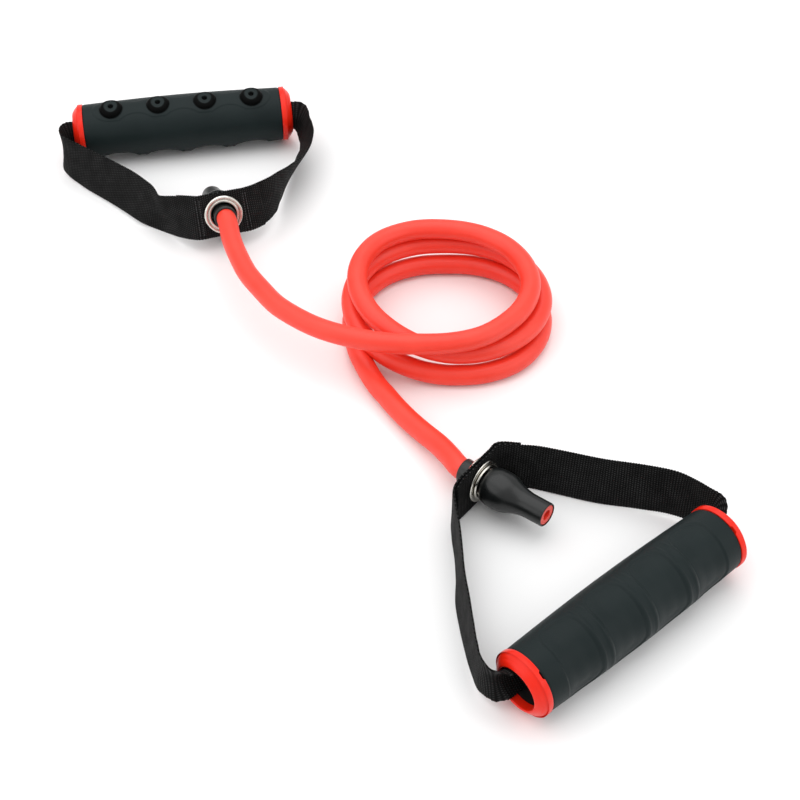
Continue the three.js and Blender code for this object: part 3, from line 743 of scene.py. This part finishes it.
def webbing(handle, material):
    """The webbing loop: a thick strip with woven edges and a round hole through both of its ends."""
    stations = loop_stations(handle)
    shares, length = even_shares(stations[:, :3], WEAVE_PITCH / 4)
    rows, columns = len(shares), 25
    distance = np.linspace(0, length, rows)[:, None]
    v = np.linspace(-1, 1, columns)[None, :]
    serration = 0.16 * MM * np.cos(2 * math.pi * distance / WEAVE_PITCH)
    widths = v * (WEB_WIDTH / 2) + np.sign(v) * serration * (np.abs(v) > 0.95)
    half = WEB_THICKNESS / 2 * (1 - 0.45 * np.abs(v) ** 12) * np.ones_like(widths)
    front = web_surface(handle, shares, widths, half)
    back = web_surface(handle, shares, widths, -half)

    # The hole: cells near the sleeve's axis go, and the cells round them are drawn up to a circle.
    axis = np.array(sleeve_direction(handle))
    centre = np.array(handle["eyelet"])
    reach = (front + back) / 2 - centre
    along = reach @ axis
    outward = reach - along[..., None] * axis
    radius = np.where(np.abs(along) < 5 * MM, np.linalg.norm(outward, axis=-1), 1)
    hole = EYELET_BARREL_RADIUS + GAP
    cell = (radius[:-1, :-1] + radius[1:, :-1] + radius[:-1, 1:] + radius[1:, 1:]) / 4
    kept = cell > hole
    used = np.zeros_like(radius, bool)
    cut = np.zeros_like(radius, bool)
    for down in (slice(None, -1), slice(1, None)):
        for over in (slice(None, -1), slice(1, None)):
            used[down, over] |= kept
            cut[down, over] |= ~kept
    rim = used & cut
    shift = np.where(rim, hole / np.maximum(radius, 1e-9) - 1, 0)[..., None] * outward
    front, back = front + shift, back + shift

    index = np.arange(rows * columns).reshape(rows, columns)
    base = rows * columns
    faces = []
    r, c = np.nonzero(kept)
    quad = np.stack([index[r, c], index[r, c + 1], index[r + 1, c + 1], index[r + 1, c]], axis=1)
    faces.extend(quad)
    faces.extend(quad[:, ::-1] + base)
    edges = set()
    for face in quad:
        for a, b in zip(face, np.roll(face, -1)):
            edges.add((int(a), int(b)))
    for a, b in edges:
        if (b, a) not in edges:
            faces.append((b, a, a + base, b + base))
    points = np.vstack([front.reshape(-1, 3), back.reshape(-1, 3)])
    uv = np.column_stack([np.broadcast_to(distance, widths.shape).ravel(), widths.ravel() + WEB_WIDTH])
    uv = np.vstack([uv, uv])
    wanted = np.unique(np.concatenate([np.asarray(face) for face in faces]))
    new_index = np.full(len(points), -1)
    new_index[wanted] = np.arange(len(wanted))
    faces = [new_index[np.asarray(face)] for face in faces]
    points = to_band(points[wanted], handle)
    strap = mesh_object(f"webbing_{handle['id']}", points, faces, material, uv[wanted], sharp=60)
    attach(strap, f"loop_{handle['id']}")
    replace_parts(strap, f"strap_{handle['id']}")
    return strap


def capsule(start, end, radius, sides=8):
    """Vertices and faces of one stitch: a short round-ended rod."""
    along = unit(end - start)
    side = unit(np.cross(along, (0.3, 0.5, 0.8)))
    up = np.cross(along, side)
    rings = []
    angle = np.arange(sides) * 2 * math.pi / sides
    for place, share in ((0, 0.35), (0.12, 0.8), (0.35, 1), (0.65, 1), (0.88, 0.8), (1, 0.35)):
        ring = radius * share * (np.outer(np.cos(angle), side) + np.outer(np.sin(angle), up))
        rings.append(start + (end - start) * place + ring)
    faces = list(grid_faces(len(rings), sides))
    faces.append(list(range(sides))[::-1])
    faces.append(list(range(sides * (len(rings) - 1), sides * len(rings))))
    return np.vstack(rings), faces


def stitching(handle, side, rows, material):
    """Rows of stitches across the overlap: rows are their distances from the eyelet along the webbing."""
    stations = loop_stations(handle)
    lap = len(handle["lap_start"]) + len(EYELET_SPAN) + len(handle["lap_finish"])
    outer = 0 if handle["first_layer"] > 0 else len(stations) - lap
    middle = (outer + len(handle["lap_start"]) + 2) / (len(stations) - 1)
    dense = np.linspace(0, 1, 60 * len(stations))
    line = spline(stations[:, :3], dense)
    travelled = np.concatenate([[0], np.cumsum(np.linalg.norm(np.diff(line, axis=0), axis=1))])
    centre = np.interp(middle, dense, travelled)
    vertices, faces, count = [], [], 0
    edges = np.linspace(-0.42, 0.42, 15) * WEB_WIDTH
    for row in rows:
        share = np.interp(centre + row, travelled, dense)
        shares = np.full(2, share)
        for low, high in zip(edges[:-1], edges[1:]):
            widths = np.array([[low + 0.25 * MM, high - 0.25 * MM]])
            surface = web_surface(handle, shares, widths, np.full((1, 2), -WEB_THICKNESS / 2 - 0.05 * MM))
            points, quads = capsule(surface[0, 0], surface[0, 1], 0.28 * MM)
            vertices.append(points)
            faces.extend([[int(i) + count for i in quad] for quad in quads])
            count += len(points)
    points = to_band(np.vstack(vertices), handle)
    stitches = mesh_object(f"stitches_{handle['id']}_{side}", points, faces, material)
    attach(stitches, f"loop_{handle['id']}")
    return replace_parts(stitches, f"stitching_{handle['id']}_{side}")


# ---- handle ----

def wrapped(angle):
    return (angle + math.pi) % (2 * math.pi) - math.pi


def finger_rests(x, arc):
    """Depth of the four finger rests: soft rounded patches with a crisp lip."""
    depth = np.zeros_like(x)
    for centre in FINGER_CENTRES:
        corner = 9 * MM
        over_x = np.abs(x - centre) - (9.8 * MM - corner)
        over_arc = np.abs(arc) - (22 * MM - corner)
        inside = corner - np.hypot(np.maximum(over_x, 0), np.maximum(over_arc, 0)) - np.minimum(
            np.maximum(over_x, over_arc), 0
        )
        soft = 0.9 * MM * smooth_step(0, 7 * MM, inside)
        lip = 0.7 * MM * smooth_step(-0.6 * MM, 0.6 * MM, inside)
        depth = np.maximum(depth, soft + lip)
    return depth


def finger_ribs(x, arc):
    """Height of the low double ribs between the finger rests."""
    height = np.zeros_like(x)
    for centre in (-FINGER_SPACING, 0, FINGER_SPACING):
        for side in (-2.2 * MM, 2.2 * MM):
            height = height + 0.35 * MM * np.exp(-(((x - centre - side) / (0.8 * MM)) ** 2))
    return height * (1 - smooth_step(15 * MM, 22 * MM, np.abs(arc)))


def nub_panel(x, arc):
    """Height of the low panel round the nubs, its long sides scalloped in between them."""
    reach = 8.6 * MM
    scallop = np.zeros_like(x)
    for centre in (-NUB_SPACING, 0, NUB_SPACING):
        scallop = np.maximum(scallop, 3.7 * MM * (1 - ((x - centre) / (10 * MM)) ** 2))
    inside_side = reach - scallop - np.abs(arc)
    beyond = np.maximum(np.abs(x) - NUB_CENTRES[-1], 0) * reach / (11.5 * MM)
    inside_end = reach - np.hypot(beyond, arc)
    inside = np.where(beyond > 0, inside_end, inside_side)
    return 0.3 * MM * smooth_step(-0.3 * MM, 0.3 * MM, inside)


def nub_profile(radius, rise):
    """Height of one nub at a distance from its middle: full flanks, a rolled rim and a dimple."""
    flank = np.sqrt(np.clip(1 - ((radius - 3.9 * MM) / (3.1 * MM)) ** 2, 0, 1))
    flank = np.where(radius < 3.9 * MM, 1, flank)
    dish = 0.35 * MM * (1 - smooth_step(3.1 * MM, 3.9 * MM, radius))
    dimple = 1.7 * MM * (1 - smooth_step(1.1 * MM, 1.7 * MM, radius))
    return flank * rise - dish - dimple


def nub_height(x, arc, rise):
    """Height of the nubs over the grip, and a mask of painted shade over their steep flanks and dimples."""
    height = np.zeros_like(x)
    nub_shade = np.zeros_like(x)
    for centre in NUB_CENTRES:
        radius = np.hypot(x - centre, arc)
        on_nub = radius < 7 * MM
        height = np.where(on_nub, nub_profile(radius, rise), height)
        # painted shade mask: the ring of each nub's steep flank and its dimple, darkened in the grip's
        # colour
        ring = smooth_step(3.6 * MM, 4.4 * MM, radius) * (1 - smooth_step(6.9 * MM, 7.3 * MM, radius))
        dimple = 1 - smooth_step(1.4 * MM, 1.9 * MM, radius)
        nub_shade = np.maximum(nub_shade, np.maximum(ring, dimple))
    return height, nub_shade


def soft_grip(handle, material):
    """The moulded grip: a slight barrel with nubs along one side and finger rests along the other."""
    rows, columns = 300, 288
    along = np.linspace(-GRIP_HALF_LENGTH, GRIP_HALF_LENGTH, rows)[:, None]
    angle = (np.arange(columns) * 2 * math.pi / columns)[None, :]
    x, angle = np.broadcast_arrays(along, angle)
    barrel = GRIP_END_RADIUS + GRIP_BULGE * np.cos(math.pi * x / (2 * GRIP_HALF_LENGTH))
    nub_side = math.pi / 2 + math.radians(handle["nub_angle"])
    nub_arc = barrel * wrapped(angle - nub_side)
    finger_arc = barrel * wrapped(angle - nub_side - math.pi)
    nubs, nub_shade = nub_height(x, nub_arc, NUB_TOP - barrel)
    rim = 0.3 * MM * (1 - smooth_step(0, 0.8 * MM, GRIP_HALF_LENGTH - np.abs(x)))
    radius = barrel - finger_rests(x, finger_arc) + finger_ribs(x, finger_arc) - rim
    radius = radius + np.maximum(nub_panel(x, nub_arc), nubs)

    bore = np.full((2, columns), GRIP_BORE_RADIUS)
    end = np.full((1, columns), GRIP_HALF_LENGTH)
    radius = np.vstack([radius, bore])
    x = np.vstack([x, end, -end])
    angle = np.vstack([angle, angle[:2]])
    points = np.stack([radius * np.cos(angle), radius * np.sin(angle), x], axis=-1).reshape(-1, 3)
    matrix = grip_matrix(handle)
    points = points @ np.array(matrix.to_3x3()).T + np.array(matrix.translation)
    faces = grid_faces(rows + 2, columns, wrap_rows=True)
    grip = mesh_object(f"soft_grip_{handle['id']}", points, faces, material, sharp=50)
    # the painted shade of the nubs' flanks and dimples, stored per point for the grip's colour
    shade_attribute = grip.data.attributes.new("nub_painted_shade", "FLOAT", "POINT")
    shade_attribute.data.foreach_set("value", np.vstack([nub_shade, 0 * bore]).astype(np.float32).ravel())
    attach(grip, f"handle_{handle['id']}")
    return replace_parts(grip, f"grip_{handle['id']}")


def core(handle, material):
    outline = [
        (-CORE_HALF_LENGTH, CORE_BORE_RADIUS),
        (-CORE_HALF_LENGTH, CORE_OUTER_RADIUS),
        (CORE_HALF_LENGTH, CORE_OUTER_RADIUS),
        (CORE_HALF_LENGTH, CORE_BORE_RADIUS),
    ]
    tube = turned(f"core_{handle['id']}", fillet(outline, 0.3 * MM), grip_matrix(handle), material)
    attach(tube, f"handle_{handle['id']}")
    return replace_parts(tube, f"core_tube_{handle['id']}")


def end_cap(handle, side, material):
    """The red end cap: a band with a key notch in its edge, a rounded shoulder and a domed face."""
    seat = GRIP_HALF_LENGTH + GAP / 2
    shoulder = CORE_HALF_LENGTH + GAP
    face = GRIP_HALF_LENGTH + CAP_LENGTH
    bore = CORE_OUTER_RADIUS + GAP
    outline = [
        (seat, bore),
        (seat, GRIP_END_RADIUS + 0.15 * MM),
        (seat + 0.35 * MM, GRIP_END_RADIUS + 0.35 * MM),
        (seat + 2.9 * MM, GRIP_END_RADIUS + 0.35 * MM),
        *curved(
            [
                (face - 5.0 * MM, GRIP_END_RADIUS + 0.25 * MM),
                (face - 4.0 * MM, GRIP_END_RADIUS - 0.1 * MM),
                (face - 2.7 * MM, GRIP_END_RADIUS - 0.95 * MM),
                (face - 1.75 * MM, GRIP_END_RADIUS - 2.0 * MM),
            ],
            4,
        ),
        (face - 1.55 * MM, GRIP_END_RADIUS - 2.1 * MM),
        *curved(
            [
                (face - 0.35 * MM, CAP_MOUTH_RADIUS + 1.5 * MM),
                (face, CAP_MOUTH_RADIUS + 0.8 * MM),
                (face - 0.35 * MM, CAP_MOUTH_RADIUS + 0.2 * MM),
                (face - 1.4 * MM, CAP_MOUTH_RADIUS),
            ],
            4,
        ),
        (shoulder, CAP_MOUTH_RADIUS),
        (shoulder, bore),
    ]
    end = 1 if side == "right" else -1
    notch_at = math.radians(90 + end * (handle["nub_angle"] + NOTCH_FROM_NUBS))

    def cut_notch(height, radius, angle):
        here = (np.abs(wrapped(angle - notch_at)) < NOTCH_HALF_WIDTH) & (radius > bore + 0.5 * MM)
        return np.where(here & (height < seat + 0.5 * MM), seat + 0.9 * MM, height)

    cap = turned(f"cap_{handle['id']}_{side}", outline, grip_matrix(handle, end), material, 144, cut_notch)
    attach(cap, f"handle_{handle['id']}")
    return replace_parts(cap, f"end_cap_{handle['id']}_{side}")


# ---- studio ----

CAMERA_LENS = 66.92  # focal length in millimetres
CAMERA_PLACE = (0.026, -0.567, 0.556)
CAMERA_TARGET = (0.026, -0.024, 0)
FLOOR_HALF_WIDTH = 4.0


def look_at(thing, target):
    thing.rotation_euler = (Vector(target) - thing.location).to_track_quat("-Z", "Y").to_euler()


def build_camera():
    data = bpy.data.cameras.new("camera")
    data.lens = CAMERA_LENS
    data.clip_start = 0.01
    camera = bpy.data.objects.new("camera", data)
    camera.location = CAMERA_PLACE
    bpy.context.scene.collection.objects.link(camera)
    look_at(camera, CAMERA_TARGET)
    bpy.context.scene.camera = camera


def area_light(name, place, size, power):
    """A rectangular white light, aimed at the middle of the band."""
    data = bpy.data.lights.new(name, "AREA")
    data.shape = "RECTANGLE"
    data.size, data.size_y = size
    data.energy = power
    light = bpy.data.objects.new(name, data)
    light.location = place
    bpy.context.scene.collection.objects.link(light)
    look_at(light, (0, 0, 0))


def build_studio():
    """A white floor, a large soft light overhead and two weak ones at the sides, in a white room."""
    floor_material, shader = new_material("studio_floor", Roughness=0.6, Specular_IOR_Level=0.2)
    link(
        floor_material,
        ramp(floor_material, noise(floor_material, 3, 2), [(0.3, grey(0.90)), (0.7, grey(0.92))]),
        shader.inputs["Base Color"],
    )
    half = FLOOR_HALF_WIDTH
    corners = [(-half, -half, 0), (half, -half, 0), (half, half, 0), (-half, half, 0)]
    floor = mesh_object("floor", corners, [(0, 1, 2, 3)], floor_material)
    area_light("overhead", (-0.15, 0.25, 1.3), (1.9, 1.6), 12.5)
    area_light("left_fill", (-1.2, -0.5, 0.7), (1.2, 1.0), 4)
    area_light("right_fill", (1.2, -0.4, 0.8), (1.2, 1.0), 4)
    world = bpy.data.worlds.new("white_room")
    world.use_nodes = True
    background = world.node_tree.nodes["Background"]
    background.inputs["Color"].default_value = (1, 1, 1, 1)
    background.inputs["Strength"].default_value = 0.8
    bpy.context.scene.world = world
    bpy.context.scene.view_settings.view_transform = "Standard"


# ---- everything, camera and cord first ----

build_camera()
red_rubber = tube_material()
tube, tube_line = build_tube(red_rubber)

black_rubber = black_rubber_material()
core_plastic = core_material()
grip_rubber = grip_material()
cap_plastic = cap_material()
nickel = nickel_material()
web_cloth = webbing_material()
thread = thread_material()

on_the_tube = []
for handle in (HANDLE_A, HANDLE_B):
    on_the_tube += [
        end_sleeve(handle, black_rubber),
        tube_mouth(handle, red_rubber),
        stopper(handle, core_plastic),
    ]
    eyelet(handle, nickel)
    washer(handle, nickel)
    core(handle, core_plastic)
    webbing(handle, web_cloth)
    stitching(handle, "left", STITCH_ROWS, thread)
    stitching(handle, "right", [-row for row in STITCH_ROWS], thread)
    soft_grip(handle, grip_rubber)
    for side in ("left", "right"):
        end_cap(handle, side, cap_plastic)

along_sleeve(HANDLE_A, [BULB_START])[0]

build_studio()
